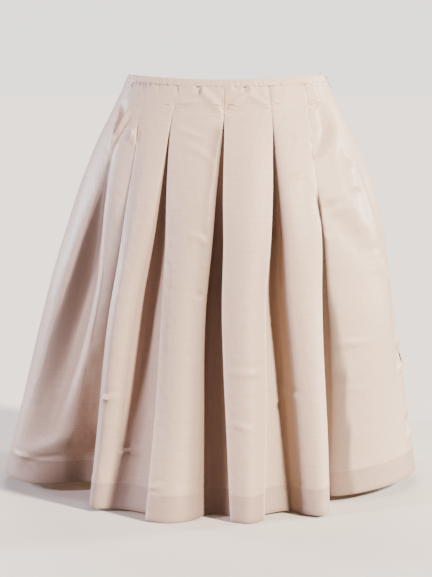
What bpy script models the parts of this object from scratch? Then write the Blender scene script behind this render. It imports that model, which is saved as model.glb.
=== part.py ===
"""Full skirt of pale taffeta, filled out as when worn.

The skirt is a flared tube with five inverted pleats in front and five behind. Each pleat is sewn shut
for a few centimetres below the waist and opens towards the hem. Metres, +Z up, +X the viewer's right,
-Y the front. The origin is the centre of the waist, where the wearer holds the skirt.
"""
import math
from collections import namedtuple

import bpy
import numpy as np

MM = 0.001

# Driving dimensions in metres
LENGTH = 0.575              # waist to hem, measured straight down
WALL = 0.0012               # cloth wall
HEM_TURN_UP = 0.034         # height of the turned-up hem
HEM_WALL = 0.0022           # two layers of cloth at the hem
HEM_STEP = 0.004            # height over which the wall thickens into the hem
BAND_HEIGHT = 0.010         # narrow puckered strip round the waist
BAND_WALL = 0.0022
SEAM_GAP = 0.0003           # clearance between pieces
WAIST_SIDE_RISE = 0.003     # the waist edge is highest at the side seams
WAIST_FRONT_DIP = 0.0065    # and dips in front
WAIST_BACK_DIP = 0.0115     # and a little more behind
HEM_SIDE_RAISE = 0.014      # the hem lifts at the sides
HEM_INSET_RAISE = 0.03      # and by this share of the depth where the cloth is set back
DEPTH_AT_WAIST = 0.102      # half the front-to-back size of the waist
DEPTH_PER_WIDTH = 1.0625    # growth of the half depth for each metre of half width
BACK_FULLER = 1.03          # the back is a little deeper than the front
ZIP_LENGTH = 0.180          # concealed zip in the side seam at +X
ZIP_TAPE_WIDTH = 0.012
ZIP_TAPE_WALL = 0.0010
ZIP_TIP_RISE = 0.0042       # tape ends that stand above the waist edge

# Zip slider and its pull, measured along the slope of the side seam, across it and away from it
SLIDER_DROP = 0.006         # the pull's hinge lies this far below the waist edge
SLIDER_ABOVE = 0.0045
SLIDER_BELOW = 0.0019
SLIDER_HALF_WIDTH = 0.0026
SLIDER_WALL = 0.0012
BAIL_OPENING = 0.0016       # square hole of the slider's loop, in which the pull's crossbar turns
BAIL_WALL = 0.0008
BAIL_HALF_WIDTH = 0.0005
PULL_BAR = 0.0009           # crossbar and plate thickness
PULL_LENGTH = 0.016
PULL_TOP_HALF_WIDTH = 0.0019
PULL_TIP_HALF_WIDTH = 0.0026
PULL_WINDOW_LENGTH = 0.0025
PULL_WINDOW_HALF_WIDTH = 0.0009
PULL_LEAN = 2.5             # degrees that the hanging pull leans towards the cloth

# Outer form: one row for each height, drop below the waist, half width and centre, in metres
Ring = namedtuple("Ring", "drop half_width centre_x")
RINGS = (
    Ring(0.000, 0.1362, 0.0000),
    Ring(0.045, 0.1580, 0.0005),
    Ring(0.120, 0.1934, 0.0010),
    Ring(0.200, 0.2196, -0.0005),
    Ring(0.300, 0.2418, -0.0080),
    Ring(0.450, 0.2708, -0.0148),
    Ring(0.575, 0.2955, -0.0225),
)

# Heights at which the folds are stated: waist, end of the sewn seam, high, middle and hem
FOLD_DROPS = (0.000, 0.045, 0.120, 0.300, 0.575)

# Inverted pleats from the viewer's left to right. lip_side is +1 where the crisp lip is the opening's
# right edge. lip_angle holds degrees from the front at the five heights. The other columns hold
# millimetres at the high, middle and hem heights: width of the opening, depth of the valley, depth
# of the fold under the lip, how far it reaches under the lip, and how far the lip and the soft edge
# are set back. valley_at is the valley's place, 0 at the lip and 1 at the soft edge.
Pleat = namedtuple(
    "Pleat", "name lip_side lip_angle opening valley_at valley under_depth under lip_back edge_back")
PLEATS = (
    Pleat("left_outer", 1, (-53.0, -47.5, -40.8, -37.4, -36.8),
          (3, 9, 101), 0.5, (3, 12, 102), (3, 13, 108), (1, 6, -66), (0, 1, 28), (0, 6, 88)),
    Pleat("left_inner", 1, (-27.6, -27.0, -24.2, -18.6, -15.8),
          (7, 38, 66), 0.5, (6, 24, 27), (5, 15, 20), (2, 7, 10), (0, 0, -8), (0, 2, 24)),
    Pleat("centre", 1, (-1.0, -1.0, -1.3, 0.6, 5.5),
          (8, 24, 44), 0.5, (7, 34, 33), (7, 34, 27), (2, 8, 10), (0, 0, -2), (0, 2, 12)),
    Pleat("right_inner", -1, (25.0, 22.8, 18.6, 14.8, 14.7),
          (6, 30, 54), 0.7, (6, 28, 22), (5, 20, 20), (2, 7, 10), (0, 0, 4), (0, 2, 4)),
    Pleat("right_outer", -1, (52.0, 45.5, 37.7, 34.6, 32.4),
          (2, 14, 50), 0.6, (3, 20, 68), (3, 18, 70), (1, 6, 4), (0, 1, -3), (0, 6, 50)),
)
CLOSED_OPENING = 2.2        # millimetres between the wall's middles where a pleat is sewn shut
CLOSED_DEPTH = 3.0
CLOSED_UNDER = -0.3
CLOSED_VALLEY_AT = 0.9
LONGEST_REACH = 2.0         # a curve's pull at a fold point, against the span on the other side
LEAST_MITRE = 0.30          # the sharpest fold's mitre, as the cosine of half its turn
SHORT_SIDE_STRETCH = 1.35   # the most that a mitre adds on the inner side of a fold
PANEL_BULGE = (0, 1, 3, 9)  # millimetres that a panel rounds out at seam end, high, middle and hem

# Soft folds beside the outer pleats, in degrees and millimetres of depth at the five heights
SoftLine = namedtuple("SoftLine", "name angle depth")
LEFT_LINES = (
    SoftLine("left_edge", (-66.0, -63.0, -58.5, -61.5, -74.0), (0, 0, 0, 1, 5)),
    SoftLine("left_valley", (-62.0, -59.0, -56.0, -57.0, -65.0), (0, 0, 2, 26, 24)),
    SoftLine("left_ridge", (-58.0, -55.0, -53.5, -43.5, -60.0), (0, 0, 0, 4, 58)),
)
RIGHT_LINES = (
    SoftLine("right_ridge", (58.0, 57.0, 61.0, 72.0, 60.0), (0, -1, -3, -4, 22)),
    SoftLine("right_trough", (72.0, 71.0, 70.0, 80.0, 76.0), (0, 1, 4, 3, 6)),
)

PANEL_DROPS = (0.0, 0.02, 0.045, 0.06, 0.085, 0.12, 0.165, 0.21, 0.26, 0.32, 0.39, 0.46)
STRIP_STEPS = 40            # steps round half of the waist strip
TAPE_ROWS = 8               # steps down the zip tape, and across it
TAPE_COLUMNS = 3
SIDE_ZONE = 55              # degrees from the front past which the cloth is beside the zip
SLOPE_SPAN = 0.004          # height over which the seam's slope is read under the slider
SLIDER_CORNER = 0.45        # share of the slider's half width that its corners lose
SLIDER_TAPER = 0.8          # width of its lower end against its upper end
TIP_STEPS = 8               # steps round the pull's tip

# Plain colours and finishes, linear
Finish = namedtuple("Finish", "colour roughness metallic")
CLOTH = Finish((0.72, 0.60, 0.55), 0.45, 0.0)
TAPE = Finish((0.66, 0.55, 0.50), 0.7, 0.0)
METAL = Finish((0.62, 0.56, 0.50), 0.35, 0.8)
SMOOTH_ANGLE = 40           # degrees, past which an edge is shaded sharp


def steady_cubic(places, values, at):
    """Smooth interpolation that keeps between its neighbours' values."""
    x = np.asarray(places, float)
    y = np.asarray(values, float)
    step = np.diff(x)
    slope = np.diff(y) / step
    rate = np.zeros(len(x))
    for i in range(1, len(x) - 1):
        if slope[i - 1] * slope[i] > 0:
            w1 = 2 * step[i] + step[i - 1]
            w2 = step[i] + 2 * step[i - 1]
            rate[i] = (w1 + w2) / (w1 / slope[i - 1] + w2 / slope[i])
    rate[0] = slope[0]
    rate[-1] = slope[-1]
    at = min(max(at, x[0]), x[-1])
    i = min(int(np.searchsorted(x, at, side="right")) - 1, len(x) - 2)
    u = (at - x[i]) / step[i]
    start = (1 + 2 * u) * (1 - u) ** 2 * y[i] + u * (1 - u) ** 2 * step[i] * rate[i]
    end = u * u * (3 - 2 * u) * y[i + 1] + u * u * (u - 1) * step[i] * rate[i + 1]
    return float(start + end)


def oval(drop, back):
    """Half width, half depth and centre of the outer form at one height."""
    drops = [ring.drop for ring in RINGS]
    half_width = steady_cubic(drops, [ring.half_width for ring in RINGS], drop)
    centre_x = steady_cubic(drops, [ring.centre_x for ring in RINGS], drop)
    half_depth = DEPTH_AT_WAIST + DEPTH_PER_WIDTH * (half_width - RINGS[0].half_width)
    if back:
        half_depth *= BACK_FULLER
    return half_width, half_depth, centre_x


def fold_rows(drop):
    """The section's fold points at one height: arc place and depth in metres, and whether it is crisp."""
    half_width, half_depth, _ = oval(drop, False)
    radius = (half_width + half_depth) / 2
    later = FOLD_DROPS[1:]
    bulge = steady_cubic(later, PANEL_BULGE, drop) * MM

    def line_row(line):
        angle = steady_cubic(FOLD_DROPS, line.angle, drop)
        depth = steady_cubic(FOLD_DROPS, line.depth, drop) * MM
        return math.radians(angle) * radius, depth, False

    groups = []
    for pleat in PLEATS:
        def column(values, closed):
            return steady_cubic(later, (closed,) + values, drop) * MM
        lip = math.radians(steady_cubic(FOLD_DROPS, pleat.lip_angle, drop)) * radius
        side = pleat.lip_side
        opening = column(pleat.opening, CLOSED_OPENING)
        lip_back = column(pleat.lip_back, 0)
        edge_back = column(pleat.edge_back, 0)
        under = lip + side * column(pleat.under, CLOSED_UNDER)
        valley_at = steady_cubic(later[:2], (CLOSED_VALLEY_AT, pleat.valley_at), drop)
        edge = lip - side * opening
        valley = under + (edge - under) * valley_at
        group = [
            (edge, edge_back, False),
            (valley, column(pleat.valley, CLOSED_DEPTH), False),
            (under, column(pleat.under_depth, CLOSED_DEPTH), True),
            (lip, lip_back, True),
        ]
        groups.append(group if side > 0 else group[::-1])

    quarter = math.pi / 2 * radius
    rows = [(-quarter, 0.0, False)]
    rows += [line_row(line) for line in LEFT_LINES]
    rows += groups[0]
    for before, after in zip(groups, groups[1:]):
        left, right = before[-1], after[0]
        rows.append(((left[0] + right[0]) / 2, (left[1] + right[1]) / 2 - bulge, False))
        rows += after
    rows += [line_row(line) for line in RIGHT_LINES]
    rows.append((quarter, 0.0, False))
    return rows, radius


def smooth_section(rows, pieces):
    """A curve through the rows, cut into a fixed number of pieces for each span.

    It turns sharply at a crisp row and gently at the others.
    """
    points = np.array([row[:2] for row in rows])
    crisp = [row[2] for row in rows]
    chord = np.diff(points, axis=0)
    length = np.maximum(np.linalg.norm(chord, axis=1), 1e-9)
    unit = chord / length[:, None]
    curve = [tuple(points[0])]
    for i in range(len(chord)):
        ends = []
        for j in (i, i + 1):
            if j == 0 or j == len(points) - 1:
                ends.append(np.array((1.0, 0.0)))
            elif crisp[j]:
                ends.append(unit[i])
            else:
                mixed = unit[j - 1] * length[j] + unit[j] * length[j - 1]
                ends.append(mixed / max(np.linalg.norm(mixed), 1e-9))
        beside = (max(i - 1, 0), min(i + 1, len(chord) - 1))
        reach = [min(length[i], LONGEST_REACH * length[j]) for j in beside]
        count = pieces(crisp[i], crisp[i + 1], i in (0, len(chord) - 1))
        for k in range(1, count + 1):
            u = k / count
            p = ((1 + 2 * u) * (1 - u) ** 2 * points[i] + u * (1 - u) ** 2 * reach[0] * ends[0]
                 + u * u * (3 - 2 * u) * points[i + 1] + u * u * (u - 1) * reach[1] * ends[1])
            curve.append(tuple(p))
    return curve


def panel_pieces(crisp_start, crisp_end, at_side_seam):
    """Spans between crisp points stay straight, and the others are cut in three, or five at a side seam."""
    if crisp_start and crisp_end:
        return 1
    return 5 if at_side_seam else 3


def offset_sides(flat, outward, inward):
    """Move a flat line of points out and in by mitred offsets."""
    flat = np.asarray(flat)
    step = np.diff(flat, axis=0)
    unit = step / np.linalg.norm(step, axis=1)[:, None]
    normal = np.stack((unit[:, 1], -unit[:, 0]), axis=1)
    first = np.vstack((normal[:1], normal))
    second = np.vstack((normal, normal[-1:]))
    middle = first + second
    middle /= np.maximum(np.linalg.norm(middle, axis=1), 1e-9)[:, None]
    slant = np.maximum(np.sum(middle * second, axis=1), LEAST_MITRE)
    turn = first[:, 0] * second[:, 1] - first[:, 1] * second[:, 0]
    long_side = 1 / slant
    short_side = np.minimum(long_side, SHORT_SIDE_STRETCH)
    out_scale = np.where(turn < 0, long_side, short_side)
    in_scale = np.where(turn < 0, short_side, long_side)
    return flat + middle * (outward * out_scale)[:, None], flat - middle * (inward * in_scale)[:, None]


def edge_heights(angle, drop, depth, back):
    """Height of a point, between the shaped waist edge and the shaped hem."""
    dip = WAIST_BACK_DIP if back else WAIST_FRONT_DIP
    top = WAIST_SIDE_RISE - dip * math.cos(angle) ** 2
    bottom = -LENGTH + HEM_SIDE_RAISE * math.sin(angle) ** 2 + HEM_INSET_RAISE * depth
    return top + (bottom - top) * drop / LENGTH


def plan_section(drop, back, pieces=panel_pieces):
    """Plan points of the wall's middle at one height, with the angle and depth of each."""
    rows, radius = fold_rows(drop)
    half_width, half_depth, centre_x = oval(drop, back)
    flat, extra = [], []
    for place, depth in smooth_section(rows, pieces):
        angle = place / radius
        normal = np.array((math.sin(angle) / half_width, -math.cos(angle) / half_depth))
        normal /= np.linalg.norm(normal)
        point = np.array((half_width * math.sin(angle), -half_depth * math.cos(angle))) - normal * depth
        if back:
            point = -point
        flat.append((centre_x + point[0], point[1]))
        extra.append((angle, depth))
    return flat, extra


def add_object(name, vertices, faces, finish):
    """Make one closed mesh object with its own material."""
    mesh = bpy.data.meshes.new(name)
    mesh.from_pydata([tuple(float(c) for c in v) for v in vertices], [], faces)
    mesh.validate()
    mesh.shade_smooth()
    mesh.set_sharp_from_angle(angle=math.radians(SMOOTH_ANGLE))
    thing = bpy.data.objects.new(name, mesh)
    bpy.context.collection.objects.link(thing)
    material = bpy.data.materials.new(name + "_material")
    material.use_nodes = True
    shader = material.node_tree.nodes["Principled BSDF"]
    shader.inputs["Base Color"].default_value = (*finish.colour, 1.0)
    shader.inputs["Roughness"].default_value = finish.roughness
    shader.inputs["Metallic"].default_value = finish.metallic
    mesh.materials.append(material)
    return thing


def wall_solid(name, outer, inner, finish):
    """Close two matching grids of points, outer and inner, into one solid. Rows run down the wall."""
    outer = np.asarray(outer)
    inner = np.asarray(inner)
    rows, columns = outer.shape[:2]
    vertices = np.concatenate((outer.reshape(-1, 3), inner.reshape(-1, 3)))
    inside = rows * columns

    def at(layer, i, j):
        return layer * inside + i * columns + j

    faces = []
    for i in range(rows - 1):
        for j in range(columns - 1):
            faces.append((at(0, i, j), at(0, i + 1, j), at(0, i + 1, j + 1), at(0, i, j + 1)))
            faces.append((at(1, i, j), at(1, i, j + 1), at(1, i + 1, j + 1), at(1, i + 1, j)))
    for j in range(columns - 1):
        faces.append((at(0, 0, j), at(0, 0, j + 1), at(1, 0, j + 1), at(1, 0, j)))
        last = rows - 1
        faces.append((at(0, last, j + 1), at(0, last, j), at(1, last, j), at(1, last, j + 1)))
    for i in range(rows - 1):
        faces.append((at(0, i + 1, 0), at(0, i, 0), at(1, i, 0), at(1, i + 1, 0)))
        last = columns - 1
        faces.append((at(0, i, last), at(0, i + 1, last), at(1, i + 1, last), at(1, i, last)))
    return add_object(name, vertices, faces, finish)


def panel(name, back):
    """One pleated half of the skirt, from under the waist strip to the hem."""
    turn_up = LENGTH - HEM_TURN_UP
    top = BAND_HEIGHT + SEAM_GAP
    drops = [top + drop * (1 - top / LENGTH) for drop in PANEL_DROPS]
    drops += [turn_up - HEM_STEP, turn_up, LENGTH]
    outer, inner = [], []
    for drop in drops:
        flat, extra = plan_section(drop, back)
        trim = seam_trim(flat)
        wall_in = (HEM_WALL if drop >= turn_up else WALL) - WALL / 2
        out_line, in_line = offset_sides(trim, WALL / 2, wall_in)
        heights = [edge_heights(angle, drop, depth, back) for angle, depth in extra]
        outer.append([(p[0], p[1], z) for p, z in zip(out_line, heights)])
        inner.append([(p[0], p[1], z) for p, z in zip(in_line, heights)])
    return wall_solid(name, outer, inner, CLOTH)


def seam_trim(flat):
    """Pull the two ends of a section back by half the seam gap."""
    flat = [np.array(p) for p in flat]
    for end, neighbour in ((0, 1), (-1, -2)):
        along = flat[neighbour] - flat[end]
        flat[end] = flat[end] + along / np.linalg.norm(along) * SEAM_GAP / 2
    return flat


def waist_strip(name, back):
    """Half of the narrow strip that finishes the waist edge."""
    outer, inner = [], []
    for drop in (0.0, BAND_HEIGHT):
        half_width, half_depth, centre_x = oval(drop, back)
        flat, angles = [], []
        for k in range(STRIP_STEPS + 1):
            angle = -math.pi / 2 + math.pi * k / STRIP_STEPS
            point = np.array((half_width * math.sin(angle), -half_depth * math.cos(angle)))
            flat.append(-point if back else point)
            angles.append(angle)
        out_line, in_line = offset_sides(seam_trim(flat), WALL / 2, BAND_WALL - WALL / 2)
        heights = [edge_heights(angle, drop, 0.0, back) for angle in angles]
        outer.append([(p[0] + centre_x, p[1], z) for p, z in zip(out_line, heights)])
        inner.append([(p[0] + centre_x, p[1], z) for p, z in zip(in_line, heights)])
    return wall_solid(name, outer, inner, CLOTH)


def side_depth(drop, back, angle):
    """Depth of the cloth near the zip, read from the section at one height."""
    _, extra = plan_section(drop, back)
    near = sorted((abs(a), d) for a, d in extra if a * (-1 if back else 1) > math.radians(SIDE_ZONE))
    return float(np.interp(abs(angle), [a for a, _ in near], [d for _, d in near]))


def zip_tape(name, back):
    """Half of the concealed zip's tape, inside the side seam."""
    outer, inner = [], []
    offset = BAND_WALL - WALL / 2 + 2 * SEAM_GAP
    side = -1 if back else 1
    drops = [0.0] + [ZIP_LENGTH * k / TAPE_ROWS for k in range(TAPE_ROWS + 1)]
    for row, drop in enumerate(drops):
        half_width, half_depth, centre_x = oval(drop, back)
        flat, heights = [], []
        for step in range(TAPE_COLUMNS + 1):
            along = SEAM_GAP + ZIP_TAPE_WIDTH * step / TAPE_COLUMNS
            angle = side * (math.pi / 2 - along / half_depth)
            normal = np.array((math.sin(angle) / half_width, -math.cos(angle) / half_depth))
            normal /= np.linalg.norm(normal)
            depth = side_depth(drop, back, angle) + offset
            point = np.array((half_width * math.sin(angle), -half_depth * math.cos(angle))) - normal * depth
            if back:
                point = -point
            flat.append((centre_x + point[0], point[1]))
            rise = ZIP_TIP_RISE * (1 - step / (TAPE_COLUMNS + 1)) if row == 0 else 0.0
            heights.append(edge_heights(angle, drop, 0.0, back) + rise)
        if not back:
            flat.reverse()
            heights.reverse()
        out_line, in_line = offset_sides(flat, 0.0, ZIP_TAPE_WALL)
        outer.append([(p[0], p[1], z) for p, z in zip(out_line, heights)])
        inner.append([(p[0], p[1], z) for p, z in zip(in_line, heights)])
    return wall_solid(name, outer, inner, TAPE)


def slope_frame():
    """Place on the side seam's outer face under the slider, and the slope's angle from the vertical."""
    def outer_face(drop):
        half_width, _, centre_x = oval(drop, False)
        return centre_x + half_width + WALL / 2, edge_heights(math.pi / 2, drop, 0.0, False)
    x0, z0 = outer_face(SLIDER_DROP)
    x1, z1 = outer_face(SLIDER_DROP + SLOPE_SPAN)
    return (x0, z0), math.atan2(x1 - x0, z0 - z1)


def box_mesh(low, high):
    """Corner points and faces of a box."""
    points = [(x, y, z) for x in (low[0], high[0]) for y in (low[1], high[1]) for z in (low[2], high[2])]
    faces = [(0, 1, 3, 2), (4, 6, 7, 5), (0, 4, 5, 1), (2, 3, 7, 6), (0, 2, 6, 4), (1, 5, 7, 3)]
    return points, faces


def modified(thing, other, operation):
    """Join or cut one object by a guide object, which is hidden from the build."""
    other.hide_render = True
    other.display_type = "WIRE"
    tool = thing.modifiers.new(operation.lower(), "BOOLEAN")
    tool.operation = operation
    tool.object = other
    tool.solver = "EXACT"


def plate(name, outline, low, high):
    """A flat metal plate: an outline in the plane of X and Y, between two heights."""
    count = len(outline)
    points = [(x, y, low) for x, y in outline] + [(x, y, high) for x, y in outline]
    faces = [tuple(reversed(range(count))), tuple(range(count, 2 * count))]
    for i in range(count):
        j = (i + 1) % count
        faces.append((i, j, count + j, count + i))
    return add_object(name, points, faces, METAL)


def zip_slider():
    """Slider body on the seam, with the loop that carries the pull. Local X runs down the slope."""
    (x0, z0), slope = slope_frame()
    corner = SLIDER_HALF_WIDTH * SLIDER_CORNER
    narrow = SLIDER_HALF_WIDTH * SLIDER_TAPER
    outline = (
        (-SLIDER_ABOVE, -corner), (-SLIDER_ABOVE + corner, -SLIDER_HALF_WIDTH),
        (SLIDER_BELOW, -narrow), (SLIDER_BELOW, narrow),
        (-SLIDER_ABOVE + corner, SLIDER_HALF_WIDTH), (-SLIDER_ABOVE, corner),
    )
    body = plate("zip_slider", outline, SEAM_GAP, SEAM_GAP + SLIDER_WALL)
    half_hole = BAIL_OPENING / 2
    reach = half_hole + BAIL_WALL
    axis = SEAM_GAP + SLIDER_WALL + half_hole
    low = SEAM_GAP + SLIDER_WALL / 2
    loop_box = box_mesh((-reach, -BAIL_HALF_WIDTH, low), (reach, BAIL_HALF_WIDTH, axis + reach))
    loop = add_object("loop_guide", *loop_box, METAL)
    hole_box = box_mesh((-half_hole, -2 * BAIL_HALF_WIDTH, axis - half_hole),
                        (half_hole, 2 * BAIL_HALF_WIDTH, axis + half_hole))
    hole = add_object("hole_guide", *hole_box, METAL)
    modified(loop, hole, "DIFFERENCE")
    modified(body, loop, "UNION")
    for thing in (body, loop, hole):
        thing.location = (x0, 0.0, z0)
        thing.rotation_euler = (0.0, math.pi / 2 - slope, 0.0)


def zip_pull():
    """Drop-shaped pull tab. Its origin is the middle of its crossbar, on the hinge's axis."""
    (x0, z0), slope = slope_frame()
    half = PULL_BAR / 2
    outline = [(-half, -PULL_TOP_HALF_WIDTH)]
    tip_centre = PULL_LENGTH - PULL_TIP_HALF_WIDTH
    for k in range(TIP_STEPS + 1):
        turn = -math.pi / 2 + math.pi * k / TIP_STEPS
        along = tip_centre + PULL_TIP_HALF_WIDTH * math.cos(turn)
        outline.append((along, PULL_TIP_HALF_WIDTH * math.sin(turn)))
    outline.append((-half, PULL_TOP_HALF_WIDTH))
    tab = plate("zip_pull", outline, -half, half)
    window_box = box_mesh((half, -PULL_WINDOW_HALF_WIDTH, -PULL_BAR),
                          (half + PULL_WINDOW_LENGTH, PULL_WINDOW_HALF_WIDTH, PULL_BAR))
    window = add_object("window_guide", *window_box, METAL)
    modified(tab, window, "DIFFERENCE")
    above = SEAM_GAP + SLIDER_WALL + BAIL_OPENING / 2
    for thing in (tab, window):
        thing.location = (x0 + above * math.cos(slope), 0.0, z0 + above * math.sin(slope))
        thing.rotation_euler = (0.0, math.pi / 2 - slope + math.radians(PULL_LEAN), 0.0)


def clear_scene():
    """Start from an empty file."""
    for thing in list(bpy.data.objects):
        bpy.data.objects.remove(thing, do_unlink=True)


def main():
    """Build every piece of the skirt."""
    clear_scene()
    panel("front_panel", False)
    panel("back_panel", True)
    waist_strip("waist_strip_front", False)
    waist_strip("waist_strip_back", True)
    zip_tape("zip_tape_front", False)
    zip_tape("zip_tape_back", True)
    zip_slider()
    zip_pull()


main()
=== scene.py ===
"""Looks of a full taffeta skirt with inverted pleats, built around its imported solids.

The file is laid out as a Blender add-on and is run as a script. Each group of pieces has its own operator.
Metres, +Z up, +X the viewer's right, -Y the front.
"""
import math
from collections import namedtuple

import bpy
import numpy as np
from bpy.props import FloatProperty, FloatVectorProperty, PointerProperty
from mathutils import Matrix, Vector, noise


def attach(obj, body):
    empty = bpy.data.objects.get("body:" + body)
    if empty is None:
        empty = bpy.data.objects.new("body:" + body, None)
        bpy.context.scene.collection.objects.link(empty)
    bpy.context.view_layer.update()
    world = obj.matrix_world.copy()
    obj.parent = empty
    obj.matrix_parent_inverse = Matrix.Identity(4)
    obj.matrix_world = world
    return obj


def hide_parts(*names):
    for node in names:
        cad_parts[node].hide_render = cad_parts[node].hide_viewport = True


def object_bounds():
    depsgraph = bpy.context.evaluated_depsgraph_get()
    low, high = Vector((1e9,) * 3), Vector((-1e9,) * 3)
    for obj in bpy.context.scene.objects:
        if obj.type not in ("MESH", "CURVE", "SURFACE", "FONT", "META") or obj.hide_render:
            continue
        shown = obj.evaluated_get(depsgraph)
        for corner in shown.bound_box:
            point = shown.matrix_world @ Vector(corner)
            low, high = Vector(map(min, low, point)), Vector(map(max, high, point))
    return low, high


bl_info = {
    "name": "Full Taffeta Skirt",
    "version": (1, 0, 0),
    "blender": (4, 5, 0),
    "location": "View3D > Sidebar > Skirt",
    "description": "Builds a full taffeta skirt with inverted pleats, piece by piece",
    "category": "Object",
}

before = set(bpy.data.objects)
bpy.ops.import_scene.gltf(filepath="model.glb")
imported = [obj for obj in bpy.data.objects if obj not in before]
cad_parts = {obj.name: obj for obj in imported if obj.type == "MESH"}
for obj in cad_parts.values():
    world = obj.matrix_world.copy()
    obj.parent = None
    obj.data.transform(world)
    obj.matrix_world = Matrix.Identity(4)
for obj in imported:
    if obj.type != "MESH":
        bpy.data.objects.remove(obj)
CAD_BOX = [list(corner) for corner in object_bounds()]

MM = 0.001

# The skirt's form, as its solids have it, in metres
LENGTH = 0.575
WALL = 0.0012
BAND_WALL = 0.0022
SEAM_GAP = 0.0003
WAIST_SIDE_RISE = 0.003
WAIST_FRONT_DIP = 0.0065
WAIST_BACK_DIP = 0.0115
HEM_SIDE_RAISE = 0.014
HEM_INSET_RAISE = 0.03
DEPTH_AT_WAIST = 0.102
DEPTH_PER_WIDTH = 1.0625
BACK_FULLER = 1.03
ZIP_LENGTH = 0.180
ZIP_TAPE_WIDTH = 0.012
ZIP_TAPE_THICKNESS = 0.0006
ZIP_TAPE_ROWS = 46
ZIP_TAPE_COLUMNS = 7
ZIP_TIP_RISE = 0.0042
TAPE_INWARD = BAND_WALL - WALL / 2 + 2 * SEAM_GAP + 0.0004      # from the cloth's middle to the tape's
TEETH_INWARD = BAND_WALL - WALL / 2 + 2 * SEAM_GAP + 0.0012     # and to the middle of the teeth
TOOTH_SIZE = (0.0030, 0.0007, 0.0009)
TOOTH_ROUNDING = 0.00022
TOOTH_TILT = 0.10
TEETH_START, TEETH_END = 0.009, 0.006   # bare tape above the first tooth and below the last
METAL_ROUNDING = 0.00016

# Outer form: drop below the waist, half width and centre
Ring = namedtuple("Ring", "drop half_width centre_x")
RINGS = (
    Ring(0.000, 0.1362, 0.0000),
    Ring(0.045, 0.1580, 0.0005),
    Ring(0.120, 0.1934, 0.0010),
    Ring(0.200, 0.2196, -0.0005),
    Ring(0.300, 0.2418, -0.0080),
    Ring(0.450, 0.2708, -0.0148),
    Ring(0.575, 0.2955, -0.0225),
)

# Heights at which the folds are stated: waist, end of the sewn seam, high, middle and hem
FOLD_DROPS = (0.000, 0.045, 0.120, 0.300, 0.575)

# Inverted pleats from the viewer's left to right, in degrees at the five heights and millimetres at
# the lower three. lip_side is +1 where the crisp lip is the opening's right edge. sewn is the width and
# depth of the hairline where the pleat is sewn shut.
Pleat = namedtuple(
    "Pleat", "name lip_side lip_angle sewn opening valley_at valley under_depth under lip_back edge_back")
PLEATS = (
    Pleat("left_outer", 1, (-53.0, -47.5, -40.8, -37.4, -36.8), (0.35, 0.3),
          (1.2, 9, 101), 0.5, (2.0, 12, 102), (2.0, 13, 108), (0.6, 6, -66), (-0.6, 1, 28), (0.8, 6, 88)),
    Pleat("left_inner", 1, (-27.6, -27.0, -24.2, -18.6, -15.8), (0.45, 0.5),
          (7, 38, 66), 0.75, (7, 26, 30), (6, 18, 22), (2, 7, 10), (0, 0, -8), (0, 2, 24)),
    Pleat("centre", 1, (-1.0, -1.0, -1.3, 0.6, 5.5), (0.5, 0.7),
          (8, 24, 44), 0.75, (8, 34, 34), (8, 34, 28), (2, 8, 10), (0, 0, -2), (0, 2, 12)),
    Pleat("right_inner", -1, (25.0, 22.8, 18.6, 14.8, 14.7), (0.45, 0.5),
          (6, 30, 54), 0.85, (7, 30, 26), (6, 20, 20), (2, 7, 10), (0, 0, 4), (0, 2, 4)),
    Pleat("right_outer", -1, (52.0, 45.5, 37.7, 34.6, 32.4), (0.3, 0.12),
          (0.9, 14, 50), 0.8, (1.8, 21, 68), (1.8, 18, 70), (0.5, 6, 4), (-0.7, 1, -3), (1.2, 6, 50)),
)
CLOSED_UNDER = -0.15        # millimetres
CLOSED_VALLEY_AT = 0.9
LONGEST_REACH = 2.0
LARGEST_CUT = 0.3           # share of a chord that the rounding of a fold may take
PANEL_BULGE = (0.6, 4.5, 8.5, 13)

# Soft folds beside the outer pleats, in degrees and millimetres of depth
SoftLine = namedtuple("SoftLine", "name angle depth")
LEFT_LINES = (
    SoftLine("left_edge", (-66.0, -63.0, -58.5, -61.5, -74.0), (0, 0, 0, 1, 5)),
    SoftLine("left_valley", (-62.0, -59.0, -56.0, -57.0, -65.0), (0, 0, 2, 26, 24)),
    SoftLine("left_ridge", (-58.0, -55.0, -53.5, -43.5, -60.0), (0, 0, 0, 4, 58)),
)
RIGHT_LINES = (
    SoftLine("right_ridge", (58.0, 57.0, 61.0, 72.0, 60.0), (0, -1, -3, -4, 22)),
    SoftLine("right_trough", (72.0, 71.0, 70.0, 80.0, 76.0), (0, 1, 4, 3, 6)),
)

# Steps of the cloth's grid between two fold points, and its rows: from, to and spacing in millimetres
CRISP_STEPS = 5
ROUND_STEPS = 3
UNDER_STEPS = 5
SOFT_STEPS = 9
SIDE_STEPS = 15
FOLD_ROUNDING = 0.9         # millimetres from a crisp fold at which the cloth starts to turn
ROW_BANDS = (
    (5.0, 30.0, 1.7), (30.0, 56.0, 1.4), (56.0, 130.0, 3.2), (130.0, 530.0, 4.4),
    (530.0, 548.0, 2.6), (548.0, 575.0, 5.4),
)
TURN_ROWS = 3               # rows round the hem's lower fold
INSIDE_ROWS = 7             # rows of the turned-up cloth inside
HEM_LAYER_GAP = 1.0         # millimetres between the middles of the hem's two layers
LAYER_BLUR = 2.0            # millimetres over which the inner layer eases round a fold
MAP_STEP = 0.003            # metres on the cloth map between two rows inside the hem
FOLD_EDGE_WIDTH = 1.3       # millimetres of painted highlight over paler worn cloth beside a crisp lip
SEWN_EDGE_GAP = 9           # millimetres by which that paler line is pushed away where a pleat is sewn
SEWN_EDGE_FADE = 30         # millimetres below the seam over which it comes back
WAIST_COLUMNS = 301
WAIST_MAP_STEP = 2.2        # millimetres on the cloth map between two rows of the waist strip

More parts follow.
